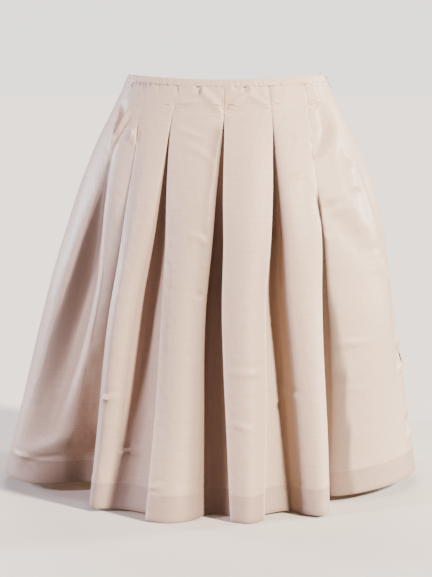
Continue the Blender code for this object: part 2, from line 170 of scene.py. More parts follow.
# Creases on the front: angle in degrees and drop in millimetres of their points, their half width and
# height in millimetres. A ridge stands out, and a negative height is a furrow.
Crease = namedtuple("Crease", "name points width height")
CREASES = (
    Crease("left tuck", ((-15.4, 8), (-14.7, 20)), 1.3, -1.1),
    Crease("right tuck", ((11.1, 8), (10.6, 21)), 1.3, -1.1),
    Crease("strap to the centre seam", ((-14.2, 15), (-7.0, 31), (-2.6, 45)), 2.6, 0.9),
    Crease("strap from the right tuck", ((1.6, 36), (6.0, 27), (10.4, 21)), 2.0, 0.8),
    Crease("strap to the right inner seam", ((11.0, 21), (16.7, 29), (22.6, 38)), 2.3, 0.6),
    Crease("slanting pinch", ((47.0, 42), (52.0, 39), (56.6, 37)), 1.1, -1.0),
    Crease("soft fold below the pinch", ((53.5, 44), (52.5, 72), (43.5, 98), (40.5, 104)), 5.0, -1.1),
    Crease("soft ridge beside it", ((56.5, 46), (57.0, 75), (50.0, 110)), 6.0, 0.7),
    Crease("pull at the left inner seam", ((-26.0, 36), (-20.0, 33), (-13.8, 30)), 1.6, 0.5),
    Crease("third panel, high pull", ((-23.9, 66), (-17.0, 73), (-9.2, 80)), 2.0, 0.5),
    Crease("third panel, middle pull", ((-17.5, 87), (-11.0, 97), (-5.3, 110)), 2.2, 0.55),
    Crease("third panel, low crease", ((-12.5, 202), (-9.0, 208), (-6.4, 217)), 1.8, 0.5),
    Crease("third panel, kink at the edge", ((-8.0, 281), (-5.4, 286)), 2.2, -0.3),
    Crease("fourth panel, high pull", ((-0.6, 58), (3.0, 51), (7.0, 45)), 1.6, 0.5),
    Crease("fourth panel, long crease", ((3.9, 382), (9.0, 384), (13.2, 385)), 1.7, 0.45),
    Crease("fourth panel, low crease", ((4.9, 449), (9.7, 456)), 1.7, 0.5),
    Crease("fifth panel, high pull", ((30.5, 78), (35.0, 86), (39.2, 93)), 1.6, 0.5),
    Crease("fifth panel, middle crease", ((25.2, 131), (31.0, 129), (35.8, 127)), 1.7, 0.4),
    Crease("fifth panel, low nick", ((21.8, 414), (24.4, 424)), 1.6, 0.6),
    Crease("sixth panel, nick at the lip", ((39.6, 110), (43.6, 107)), 1.2, 0.45),
    Crease("sixth panel, second nick", ((37.0, 203), (41.8, 201)), 1.3, 0.3),
    Crease("sixth panel, hollow below it", ((37.4, 207), (42.0, 206)), 2.6, -0.3),
    Crease("sixth panel, rising pull", ((38.5, 171), (46.0, 160), (53.6, 146)), 2.6, 0.5),
    Crease("sixth panel, second pull", ((38.4, 186), (45.0, 181), (52.0, 174)), 2.4, 0.45),
    Crease("sixth panel, soft wedge", ((37.7, 166), (45.7, 200), (56.5, 252)), 7.0, -1.2),
    Crease("sixth panel, pressed line", ((40.3, 345), (42.3, 386), (44.4, 428)), 1.3, 0.8),
    Crease("sixth panel, low pull", ((44.4, 425), (50.5, 428)), 1.4, 0.7),
    Crease("sixth panel, cross pull", ((40.6, 362), (47.0, 361), (53.4, 365)), 2.0, 0.5),
    Crease("side slit", ((58.8, 214), (60.8, 229), (63.4, 244)), 2.0, -2.2),
    Crease("side ridge", ((61.0, 60), (59.0, 102), (58.4, 145), (57.6, 192), (59.2, 224)), 4.0, 1.3),
    Crease("side ridge, lower", ((64.0, 238), (68.0, 262), (75.0, 300), (80.0, 340)), 3.5, 1.2),
    Crease("left side, first stroke", ((-68.5, 47), (-64.0, 68), (-60.4, 90)), 2.0, 0.9),
    Crease("left side, second stroke", ((-56.4, 54), (-58.4, 76), (-60.8, 98)), 1.8, 0.9),
    Crease("left side, third stroke", ((-48.0, 66), (-46.4, 78), (-43.8, 92)), 1.6, 0.8),
    Crease("left side, hollow", ((-63.5, 44), (-61.5, 66)), 3.4, -0.9),
    Crease("left ridge's low highlight", ((-44.2, 364), (-45.0, 380), (-46.2, 398)), 3.0, 0.4),
    Crease("left hollow's low edge", ((-50.5, 474), (-54.8, 500), (-60.3, 518), (-70.6, 537)), 6.0, 0.9),
    Crease("left corner crease", ((-75.0, 540), (-69.0, 541), (-63.0, 541)), 1.6, 0.5),
    Crease("left corner, second crease", ((-69.0, 546), (-63.0, 537), (-58.0, 532)), 1.8, -0.5),
    Crease("second panel crease", ((-35.6, 433), (-33.0, 428), (-30.1, 425)), 1.6, 0.9),
    Crease("second panel, low crease", ((-28.6, 501), (-26.0, 500), (-23.4, 496)), 1.6, 0.9),
    Crease("third panel, hem nick", ((-15.6, 535), (-12.8, 530)), 1.5, 0.6),
    Crease("right edge, upper dent", ((80.0, 396), (86.0, 402), (90.0, 404)), 4.0, -1.1),
    Crease("right edge, ripple", ((78.0, 424), (84.0, 421), (90.0, 424)), 3.4, 0.9),
    Crease("right edge, lower dent", ((80.0, 498), (86.0, 503), (90.0, 501)), 4.0, -1.0),
    Crease("right edge, low ripple", ((79.0, 522), (85.0, 520), (90.0, 523)), 3.0, 0.7),
)
BACK_CREASE_SHIFT = (3.5, 9.0)      # the back's creases lie this many degrees and millimetres away
BACK_CREASE_SHARE = 0.4

# Small puckers that fan out from the end of a sewn pleat: start and end from the seam's end, in
# millimetres across and down, on both sides
Pucker = namedtuple("Pucker", "start end height")
PUCKERS = (
    Pucker((1.2, -14.0), (9.0, -17.5), 0.35),
    Pucker((1.2, -10.5), (12.0, -12.5), 0.45),
    Pucker((1.2, -7.0), (14.0, -7.5), 0.55),
    Pucker((1.2, -3.8), (12.5, -2.5), 0.55),
    Pucker((1.2, -0.8), (10.0, 2.8), 0.45),
    Pucker((2.0, 3.5), (9.0, 9.5), 0.35),
)
PUCKER_WIDTH = 0.95
PUCKER_SHARE = (1.0, 1.9, 3.2, 2.2, 1.2)   # for each pleat, from the left
SEAM_END = 42.0
SEAM_DIP = 0.45             # millimetres that the cloth dips towards a sewn pleat
SEAM_DIP_WIDTH = 2.6
CREASE_STRENGTH = 4.2
CREASE_SPREAD = 1.7
FURROW_DEPTH, FURROW_AT, FURROW_WIDTH = 0.4, 1.9, 1.3    # beside a crest, as shares of its size

# Uneven waves: length across and down the cloth and height, in millimetres, and a seed
Wave = namedtuple("Wave", "name across down height seed")
WAVES = (
    Wave("broad upright waves", 34, 120, 0.75, 0),
    Wave("fine waves", 13, 48, 0.22, 5),
    Wave("gathers at the waist", 3.1, 26, 2.3, 9),
    Wave("puckers at the hem", 4.5, 16, 0.9, 13),
)
GATHERS_AT, GATHERS_REACH = 8, 11       # drop and spread of the gathers in millimetres
HEM_PUCKERS_AT, HEM_PUCKERS_REACH = 541, 7

# How the painted shade falls off round an opened pleat, from the left. lit is how much of the shade is gone
# beside the crisp lip at the hem, where the light reaches in; least is the shade that a wide opening keeps;
# roll is how far in millimetres the shade runs out over the soft edge on the other side, at the strength
# roll_share.
Falloff = namedtuple("Falloff", "lit least roll roll_share")
FALLOFFS = (
    Falloff(0.5, 0.0, 3.0, 0.0), Falloff(0.6, 0.66, 6.0, 0.5), Falloff(0.1, 0.85, 17.0, 0.7),
    Falloff(0.55, 0.70, 6.0, 0.5), Falloff(0.2, 0.86, 4.0, 0.7),
)
LIT_FROM, LIT_TO = 130.0, 430.0     # millimetres of drop over which the light comes in
LIP_MARGIN = 12             # millimetres past the lip in which a pleat's own light counts
EDGE_MARGIN = 3             # millimetres past its soft edge
OPEN_FROM, OPEN_OVER = 0.8, 2.4     # a pleat counts as open from this width, and fully this much further
ROLL_FROM = 0.98            # share of the opening at which the shade starts to run over the soft edge

# Painted shade where a broad fold keeps the light away: bands by drop in millimetres, degrees of the left
# and right border and strength, with the millimetres that each border takes to fade
Shade = namedtuple("Shade", "name stations soft")
SHADES = (
    Shade("left recess", (
        (108, -57.5, -57.2, 0.0), (122, -57.5, -56.6, 0.8), (157, -56.6, -53.6, 0.95),
        (227, -59.2, -56.0, 0.92), (285, -60.8, -57.6, 0.84), (340, -63.4, -59.6, 0.72),
        (400, -66.1, -62.3, 0.56), (460, -71.0, -67.0, 0.42), (510, -73.5, -70.0, 0.0)), (2.5, 11.0)),
    Shade("strip beside the second lip", (
        (145, -42.0, -40.6, 0.0), (187, -41.6, -40.1, 0.42), (247, -41.2, -39.0, 0.38),
        (327, -40.6, -37.9, 0.36), (400, -40.5, -37.6, 0.36), (450, -41.0, -37.5, 0.36),
        (575, -42.0, -37.2, 0.4)), (11.0, 0.5)),
    Shade("lower left hollow", (
        (462, -47.0, -37.4, 0.0), (478, -50.5, -37.4, 0.42), (502, -54.8, -37.4, 0.48),
        (518, -60.3, -37.4, 0.48), (537, -69.0, -37.4, 0.45), (575, -74.0, -37.2, 0.42)), (9.0, 0.5)),
    Shade("second panel, low fold", (
        (400, -32.5, -30.5, 0.0), (430, -32.4, -28.5, 0.34), (500, -31.5, -27.5, 0.36),
        (545, -30.5, -27.5, 0.2)), (7.0, 9.0)),
    Shade("right recess", (
        (240, 35.2, 35.6, 0.0), (285, 34.8, 37.4, 0.85), (327, 34.3, 39.4, 0.88),
        (362, 34.0, 41.2, 0.88), (430, 33.5, 43.2, 0.84), (497, 33.0, 46.2, 0.80),
        (575, 32.4, 48.3, 0.74)), (0.5, 7.0)),
    Shade("soft fold under the pinch", (
        (46, 51.6, 53.0, 0.36), (72, 49.0, 51.4, 0.42), (98, 42.0, 44.6, 0.44),
        (112, 39.4, 40.8, 0.3)), (2.5, 6.0)),
)

# Studio lights round the skirt: degrees to the viewer's right of the front and above the floor, strength,
# the light's apparent size in degrees, and colour
Lamp = namedtuple("Lamp", "name azimuth elevation strength softness colour")
LIGHTS = (
    Lamp("key_right", 54, 32, 10.0, 7, "#FFEAD3"),
    Lamp("fill_left", -66, 24, 3.4, 10, "#F6DFE8"),
    Lamp("rim_left", -125, 12, 3.0, 10, "#EEF0FF"),
    Lamp("rim_right", 115, 16, 5.0, 10, "#FFFCF6"),
    Lamp("back_soft", 180, 35, 2.2, 30, "#FFF8F2"),
)

SHELTER_TURNS = range(-78, 79, 6)   # degrees off the cloth's normal in which light is looked for
SHELTER_REACH = 0.12                # metres within which other cloth hides it
SHELTER_START = 0.0004              # metres off the cloth at which looking starts

CAMERA_AT = (0.0, -2.6, 0.02)
CAMERA_DOWN = 7.07          # degrees
CAMERA_LEFT = 0.313
CAMERA_LENS = 114.05        # millimetres for 36 mm on the frame's long side
CAMERA_FRAME = 36.0

SIDES = (("front", False), ("back", True))


def linear(hex_value):
    """Linear colour of an sRGB hex value."""
    channels = []
    for start in (1, 3, 5):
        value = int(hex_value[start:start + 2], 16) / 255
        channels.append(value / 12.92 if value <= 0.04045 else ((value + 0.055) / 1.055) ** 2.4)
    return (*channels, 1.0)


def length_setting(name, description, default):
    """A length that a maker would change, in metres."""
    return FloatProperty(name=name, description=description, default=default, unit="LENGTH")


def colour_setting(name, description, hex_value):
    """A colour that a maker would change."""
    return FloatVectorProperty(name=name, description=description, subtype="COLOR", size=4,
                               default=linear(hex_value), min=0.0, max=1.0)


class SkirtSizes(bpy.types.PropertyGroup):
    """Sizes that a maker would change."""

    cloth: length_setting("Cloth", "Thickness of the taffeta", 0.0004)
    turn_up: length_setting("Hem", "Height of the turned-up hem", 0.034)
    band: length_setting("Waist strip", "Height of the strip at the waist", 0.010)
    stitch: length_setting("Stitch", "Length of one stitch", 0.0024)
    stitch_step: length_setting("Stitch step", "From one stitch to the next", 0.0036)
    thread: length_setting("Thread", "Thickness of the sewing thread", 0.00036)
    tooth_step: length_setting("Zip tooth step", "From one tooth of the zip to the next", 0.0014)
    gathers: length_setting("Gathers", "Depth of the puckers round the waist", 0.0019)


class SkirtColours(bpy.types.PropertyGroup):
    """Colours that a maker would change."""

    taffeta: colour_setting("Taffeta", "Colour of the cloth's warp", "#EED7C3")
    weft: colour_setting("Weft", "Colour of the cloth's weft", "#E6CBB6")
    thread: colour_setting("Thread", "Colour of the sewing thread", "#CDBDB4")
    tape: colour_setting("Zip tape", "Colour of the zip's tape", "#E6DAD0")
    metal: colour_setting("Zip metal", "Colour of the lacquered slider and pull", "#E4D8CC")
    floor: colour_setting("Floor", "Colour of the floor", "#E9E6E2")


# The form's maths

def steady_cubic(places, values, at):
    """Smooth interpolation that keeps between its neighbours' values."""
    x = np.asarray(places, float)
    y = np.asarray(values, float)
    step = np.diff(x)
    slope = np.diff(y) / step
    rate = np.zeros(len(x))
    for i in range(1, len(x) - 1):
        if slope[i - 1] * slope[i] > 0:
            w1 = 2 * step[i] + step[i - 1]
            w2 = step[i] + 2 * step[i - 1]
            rate[i] = (w1 + w2) / (w1 / slope[i - 1] + w2 / slope[i])
    rate[0] = slope[0]
    rate[-1] = slope[-1]
    at = min(max(at, x[0]), x[-1])
    i = min(int(np.searchsorted(x, at, side="right")) - 1, len(x) - 2)
    u = (at - x[i]) / step[i]
    start = (1 + 2 * u) * (1 - u) ** 2 * y[i] + u * (1 - u) ** 2 * step[i] * rate[i]
    end = u * u * (3 - 2 * u) * y[i + 1] + u * u * (u - 1) * step[i] * rate[i + 1]
    return float(start + end)


def oval(drop, back):
    """Half width, half depth and centre of the outer form at one height."""
    drops = [ring.drop for ring in RINGS]
    half_width = steady_cubic(drops, [ring.half_width for ring in RINGS], drop)
    centre_x = steady_cubic(drops, [ring.centre_x for ring in RINGS], drop)
    half_depth = DEPTH_AT_WAIST + DEPTH_PER_WIDTH * (half_width - RINGS[0].half_width)
    if back:
        half_depth *= BACK_FULLER
    return half_width, half_depth, centre_x


def arc_radius(drop):
    """Metres of arc for each radian at one height."""
    half_width, half_depth, _ = oval(drop, False)
    return (half_width + half_depth) / 2


FoldPoint = namedtuple("FoldPoint", "place depth crisp lip")


def fold_points(drop):
    """The section's fold points at one height, in metres of arc and of depth."""
    radius = arc_radius(drop)
    later = FOLD_DROPS[1:]
    bulge = steady_cubic(later, PANEL_BULGE, drop) * MM

    def soft(line):
        angle = steady_cubic(FOLD_DROPS, line.angle, drop)
        return FoldPoint(math.radians(angle) * radius, steady_cubic(FOLD_DROPS, line.depth, drop) * MM,
                         False, False)

    groups = []
    for pleat in PLEATS:
        def column(values, closed):
            return steady_cubic(later, (closed,) + values, drop) * MM
        side = pleat.lip_side
        lip = math.radians(steady_cubic(FOLD_DROPS, pleat.lip_angle, drop)) * radius
        under = lip + side * column(pleat.under, CLOSED_UNDER)
        narrow, shallow = pleat.sewn
        edge = lip - side * column(pleat.opening, narrow)
        valley_at = steady_cubic(later[:2], (CLOSED_VALLEY_AT, pleat.valley_at), drop)
        group = [
            FoldPoint(edge, column(pleat.edge_back, 0), False, False),
            FoldPoint(under + (edge - under) * valley_at, column(pleat.valley, shallow), False, False),
            FoldPoint(under, column(pleat.under_depth, shallow), True, False),
            FoldPoint(lip, column(pleat.lip_back, 0), True, True),
        ]
        groups.append(group if side > 0 else group[::-1])

    quarter = math.pi / 2 * radius
    points = [FoldPoint(-quarter, 0.0, False, False)] + [soft(line) for line in LEFT_LINES] + groups[0]
    for before, after in zip(groups, groups[1:]):
        left, right = before[-1], after[0]
        points.append(FoldPoint((left.place + right.place) / 2, (left.depth + right.depth) / 2 - bulge,
                                False, False))
        points += after
    points += [soft(line) for line in RIGHT_LINES]
    points.append(FoldPoint(quarter, 0.0, False, False))
    return points


def fold_curve(points):
    """A fine curve through the fold points, rounded at the crisp ones.

    It returns the curve's places and depths, and the column of each lip.
    """
    flat = np.array([point[:2] for point in points])
    crisp = [point.crisp for point in points]
    chord = np.diff(flat, axis=0)
    length = np.maximum(np.linalg.norm(chord, axis=1), 1e-9)
    unit = chord / length[:, None]
    last = len(chord) - 1
    spans = []
    for i in range(len(chord)):
        ends = []
        for j in (i, i + 1):
            if j in (0, last + 1):
                ends.append(np.array((1.0, 0.0)))
            elif crisp[j]:
                ends.append(unit[i])
            else:
                mixed = unit[j - 1] * length[j] + unit[j] * length[j - 1]
                ends.append(mixed / max(np.linalg.norm(mixed), 1e-9))
        reach = [min(length[i], LONGEST_REACH * length[j]) for j in (max(i - 1, 0), min(i + 1, last))]
        cut = min(FOLD_ROUNDING * MM / length[i], LARGEST_CUT)
        steps = SIDE_STEPS if i in (0, last) else SOFT_STEPS
        if crisp[i] and crisp[i + 1]:
            steps = CRISP_STEPS
        elif crisp[i] != crisp[i + 1] and not (points[i].lip or points[i + 1].lip):
            steps = UNDER_STEPS
        u = np.linspace(cut if crisp[i] else 0.0, 1.0 - (cut if crisp[i + 1] else 0.0), steps + 1)[:, None]
        spans.append((1 + 2 * u) * (1 - u) ** 2 * flat[i] + u * (1 - u) ** 2 * reach[0] * ends[0]
                     + u * u * (3 - 2 * u) * flat[i + 1] + u * u * (u - 1) * reach[1] * ends[1])
    curve = [spans[0]]
    count = len(spans[0])
    lips = []
    for i in range(1, len(spans)):
        if crisp[i]:
            t = (np.arange(1, ROUND_STEPS + 1) / (ROUND_STEPS + 1))[:, None]
            bend = (1 - t) ** 2 * spans[i - 1][-1] + 2 * t * (1 - t) * flat[i] + t * t * spans[i][0]
            if points[i].lip:
                lips.append(count + ROUND_STEPS // 2)
            curve += [bend, spans[i]]
            count += len(bend) + len(spans[i])
        else:
            curve.append(spans[i][1:])
            count += len(spans[i]) - 1
    return np.vstack(curve), lips


def edge_heights(angle, drop, depth, back):
    """Heights of points between the shaped waist edge and the shaped hem."""
    dip = WAIST_BACK_DIP if back else WAIST_FRONT_DIP
    top = WAIST_SIDE_RISE - dip * np.cos(angle) ** 2
    bottom = -LENGTH + HEM_SIDE_RAISE * np.sin(angle) ** 2 + HEM_INSET_RAISE * depth
    return top + (bottom - top) * drop / LENGTH


def plan_normals(angle, half_width, half_depth):
    """Outward unit directions in plan on an oval, at angles from its front."""
    normal = np.stack((np.sin(angle) / half_width, -np.cos(angle) / half_depth), axis=-1)
    return normal / np.linalg.norm(normal, axis=-1)[..., None]


def on_oval(angle, depth, drop, back):
    """Points of the skirt at one height, from their angles and depths."""
    half_width, half_depth, centre_x = oval(drop, back)
    angle = np.asarray(angle, float)
    depth = np.broadcast_to(np.asarray(depth, float), angle.shape)
    plan = np.stack((half_width * np.sin(angle), -half_depth * np.cos(angle)), axis=-1)
    plan = plan - plan_normals(angle, half_width, half_depth) * depth[..., None]
    if back:
        plan = -plan
    height = edge_heights(angle, drop, depth, back)
    return np.stack((plan[..., 0] + centre_x, plan[..., 1], height), axis=-1)


def grid_normals(grid):
    """Outward unit normals of a grid of points, rows downwards and columns to the viewer's right."""
    down = np.gradient(grid, axis=0)
    across = np.gradient(grid, axis=1)
    normal = np.cross(down, across)
    return normal / np.maximum(np.linalg.norm(normal, axis=2), 1e-12)[:, :, None]


def run_along(line):
    """Distance of each point of a line from its start, along the line."""
    return np.concatenate(((0.0,), np.cumsum(np.linalg.norm(np.diff(line, axis=0), axis=1))))


def blur_along(values, distance, width):
    """Average of values along a line, weighted by distance."""
    gap = distance[:, None] - distance[None, :]
    weight = np.exp(-(gap / width) ** 2)
    weight /= weight.sum(axis=1)[:, None]
    return weight @ values


def shade_to_paint(row):
    """How far each point of a plan section is hidden from the light beside it, from 0 to 1."""
    line = row[:, :2]
    along = np.gradient(line, axis=0)
    along /= np.maximum(np.linalg.norm(along, axis=1), 1e-12)[:, None]
    out = np.stack((along[:, 1], -along[:, 0]), axis=1)
    # Every second leg is left out and the others are taken at twice their length, which halves the work
    first, second = line[:-1:2], line[1::2][:len(line[:-1:2])]
    leg = second - first
    hidden = np.zeros(len(line))
    total = 0.0
    for turn in np.radians(SHELTER_TURNS):
        ray = out * math.cos(turn) + along * math.sin(turn)
        start = line + out * SHELTER_START
        cross = ray[:, None, 0] * leg[None, :, 1] - ray[:, None, 1] * leg[None, :, 0]
        offset = first[None] - start[:, None]
        cross = np.where(np.abs(cross) < 1e-12, 1e-12, cross)
        reach = (offset[..., 0] * leg[None, :, 1] - offset[..., 1] * leg[None, :, 0]) / cross
        share = (offset[..., 0] * ray[:, None, 1] - offset[..., 1] * ray[:, None, 0]) / cross
        struck = ((reach > 0) & (reach < SHELTER_REACH) & (share >= -0.5) & (share <= 1.5)).any(axis=1)
        hidden += math.cos(turn) * struck
        total += math.cos(turn)
    return hidden / total


def smooth_step(value):
    """Ease from 0 to 1."""
    value = np.clip(value, 0.0, 1.0)
    return value * value * (3 - 2 * value)


def painted_fold_shade(place, drop, points, hidden):
    """Painted shade along one row, from 0 to 1; places and drop in millimetres."""
    tone = hidden.copy()
    light_in = float(smooth_step((drop - LIT_FROM) / (LIT_TO - LIT_FROM)))
    for i, pleat, falloff in zip([i for i, point in enumerate(points) if point.lip], PLEATS, FALLOFFS):
        lip = points[i].place / MM
        width = abs(points[i - 3 * pleat.lip_side].place / MM - lip)
        across = (lip - place) * pleat.lip_side
        opened = float(smooth_step((width - OPEN_FROM) / OPEN_OVER))
        near = (across > -LIP_MARGIN) & (across < width + EDGE_MARGIN)
        towards_lip = np.clip(1 - across / max(width, 1.0), 0.0, 1.0)
        within = (across > 0) & (across < width)
        tone[within] = np.maximum(tone[within], falloff.least)
        tone[near] *= opened * (1 - falloff.lit * light_in * towards_lip[near])
        beyond = np.clip(across - width, 0.0, None)
        roll = falloff.roll_share * opened * np.exp(-(beyond / falloff.roll) ** 2)
        tone = np.where(across > width * ROLL_FROM, np.maximum(tone, roll), tone)
    radius = arc_radius(drop * MM) / MM
    for shade in SHADES:
        drops, left, right, strength = np.array(shade.stations).T
        if drops[0] < drop < drops[-1] + 1:
            left_at = math.radians(np.interp(drop, drops, left)) * radius
            right_at = math.radians(np.interp(drop, drops, right)) * radius
            left_gap = np.clip(left_at - place, 0.0, None) / shade.soft[0]
            right_gap = np.clip(place - right_at, 0.0, None) / shade.soft[1]
            band = np.exp(-left_gap ** 2 - right_gap ** 2) * np.interp(drop, drops, strength)
            tone = np.maximum(tone, band)
    return tone


# Creases and puckers

def line_field(x, y, corners):
    """Signed distance of points from a broken line, and how far along it they are, from 0 to 1."""
    corners = np.asarray(corners, float)
    legs = np.diff(corners, axis=0)
    sizes = np.linalg.norm(legs, axis=1)
    total = sizes.sum()
    best = np.full(x.shape, np.inf)
    signed = np.zeros(x.shape)
    along = np.zeros(x.shape)
    start = 0.0
    for (x0, y0), leg, size in zip(corners, legs, sizes):
        ux, uy = leg / size
        t = (x - x0) * ux + (y - y0) * uy
        inside = np.clip(t, 0.0, size)
        dx = x - x0 - inside * ux
        dy = y - y0 - inside * uy
        gap = np.hypot(dx, dy)
        closer = gap < best
        side = np.where((x - x0) * uy - (y - y0) * ux >= 0, 1.0, -1.0)
        signed = np.where(closer, gap * side, signed)
        along = np.where(closer, (start + inside) / total, along)
        best = np.minimum(best, gap)
        start += size
    return signed, along


def crease_field(x, y, corners, width, height):
    """Height of one crease: a crest with a shallow furrow on one side, easing out at both ends."""
    near = np.abs(x - np.mean([c[0] for c in corners])) < 200
    result = np.zeros(x.shape)
    gap, along = line_field(x[near], y[near], corners)
    furrow = np.exp(-((gap - FURROW_AT * width) / (FURROW_WIDTH * width)) ** 2)
    crest = np.exp(-(gap / width) ** 2) - FURROW_DEPTH * furrow
    ends = np.sin(np.pi * np.clip(along * 0.92 + 0.04, 0.0, 1.0)) ** 0.7
    result[near] = height * crest * ends
    return result


def placed(corners):
    """Turn corners in degrees and millimetres of drop into millimetres of arc and drop."""
    return [(math.radians(angle) * arc_radius(drop * MM) / MM, drop) for angle, drop in corners]


def relief(place, drop, back):
    """Height in millimetres of the creases, puckers and dips at the seams, over the skirt's plain form."""
    height = np.zeros(place.shape)
    share = BACK_CREASE_SHARE if back else 1.0
    for crease in CREASES:
        corners = crease.points
        if back:
            turn, lower = BACK_CREASE_SHIFT
            corners = [(-angle + turn * math.sin(down / 40), down + lower * math.sin(angle / 9))
                       for angle, down in corners]
        strength = share * CREASE_STRENGTH * crease.height
        height += crease_field(place, drop, placed(corners), CREASE_SPREAD * crease.width, strength)
    for pleat, strength in zip(PLEATS, PUCKER_SHARE):
        seam = placed([(steady_cubic(FOLD_DROPS, pleat.lip_angle, SEAM_END * MM), SEAM_END)])[0][0]
        for side in (-1, 1):
            for number, pucker in enumerate(PUCKERS):
                uneven = 1 + 0.35 * math.sin(2.3 * number + 1.7 * side + seam / 31)
                corners = [(seam + side * across, SEAM_END + down * (1 + 0.08 * side))
                           for across, down in (pucker.start, pucker.end)]
                height += crease_field(place, drop, corners, PUCKER_WIDTH, pucker.height * strength * uneven)
        lips = np.array([steady_cubic(FOLD_DROPS, pleat.lip_angle, value * MM) for value in drop[:, 0]])
        radii = np.array([arc_radius(value * MM) / MM for value in drop[:, 0]])
        gap = place - (np.radians(lips) * radii)[:, None]
        fade = 1 / (1 + np.exp((drop - SEAM_END - 6) / 5))
        height -= SEAM_DIP * np.exp(-(gap / SEAM_DIP_WIDTH) ** 2) * fade
    return height


def soft_waves(place, drop, back):
    """Uneven waves of the cloth, in millimetres."""
    seed = 7.3 if back else 1.9
    waves = np.zeros(place.shape)
    for i in range(place.shape[0]):
        for j in range(place.shape[1]):
            x, y = place[i, j], drop[i, j]
            near_waist = math.exp(-((y - GATHERS_AT) / GATHERS_REACH) ** 2)
            near_hem = math.exp(-((y - HEM_PUCKERS_AT) / HEM_PUCKERS_REACH) ** 2)
            for wave, fade in zip(WAVES, (min(y / 90, 1.3), 1.0, near_waist, near_hem)):
                swell = noise.noise(Vector((x / wave.across, y / wave.down, seed + wave.seed)))
                waves[i, j] += wave.height * swell * fade
    return waves


# Meshes

def deselect_all():
    """Leave nothing selected, since an operator acts on all that is."""
    for thing in bpy.context.selected_objects:
        thing.select_set(False)


def make_active(thing):
    """Select one object alone."""
    deselect_all()
    thing.select_set(True)
    bpy.context.view_layer.objects.active = thing


def mesh_object(name, points, faces):
    """An object in the scene, from its points and faces."""
    mesh = bpy.data.meshes.new(name)
    mesh.from_pydata(points, [], faces)
    mesh.update()
    thing = bpy.data.objects.new(name, mesh)
    bpy.context.collection.objects.link(thing)
    return thing


def grid_object(name, grid, uv=None, attributes=None):
    """A quad mesh from a grid of points, rows downwards, with its cloth map and attributes."""
    rows, columns = grid.shape[:2]
    index = np.arange(rows * columns).reshape(rows, columns)
    faces = np.stack((index[:-1, :-1], index[1:, :-1], index[1:, 1:], index[:-1, 1:]), axis=-1)
    thing = mesh_object(name, grid.reshape(-1, 3).tolist(), faces.reshape(-1, 4).tolist())
    mesh = thing.data
    if uv is not None:
        corners = np.zeros(len(mesh.loops), dtype=np.int64)
        mesh.loops.foreach_get("vertex_index", corners)
        layer = mesh.uv_layers.new(name="cloth")
        layer.data.foreach_set("uv", uv.reshape(-1, 2)[corners].astype(np.float32).ravel())
    for key, values in (attributes or {}).items():
        attribute = mesh.attributes.new(key, "FLOAT", "POINT")
        attribute.data.foreach_set("value", values.astype(np.float32).ravel())
    return thing


def thicken(thing, thickness):
    """Give a sheet its thickness, half on each side, and close its edges."""
    make_active(thing)
    solid = thing.modifiers.new("thickness", "SOLIDIFY")
    solid.thickness = thickness
    solid.offset = 0.0
    solid.use_rim = True
    bpy.ops.object.modifier_apply(modifier=solid.name)
    bpy.ops.object.shade_smooth_by_angle(angle=math.radians(50))


def dress(thing, body, material, stands_for=()):
    """Give a piece its body and material, and hide the solids that it stands for."""
    thing.data.materials.clear()
    thing.data.materials.append(material)
    if stands_for:
        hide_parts(*stands_for)
    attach(thing, body)


def panel_rows(turn_up):
    """Drops in millimetres of the cloth's rows down to the hem, and of those up inside it."""
    down = []
    for start, end, step in ROW_BANDS:
        count = max(1, round((end - start) / step))
        down += list(np.linspace(start, end, count, endpoint=False))
    down.append(LENGTH / MM)
    hem = LENGTH / MM
    inside = list(np.linspace(hem - 1.5, hem - turn_up / MM, INSIDE_ROWS))
    return down, inside


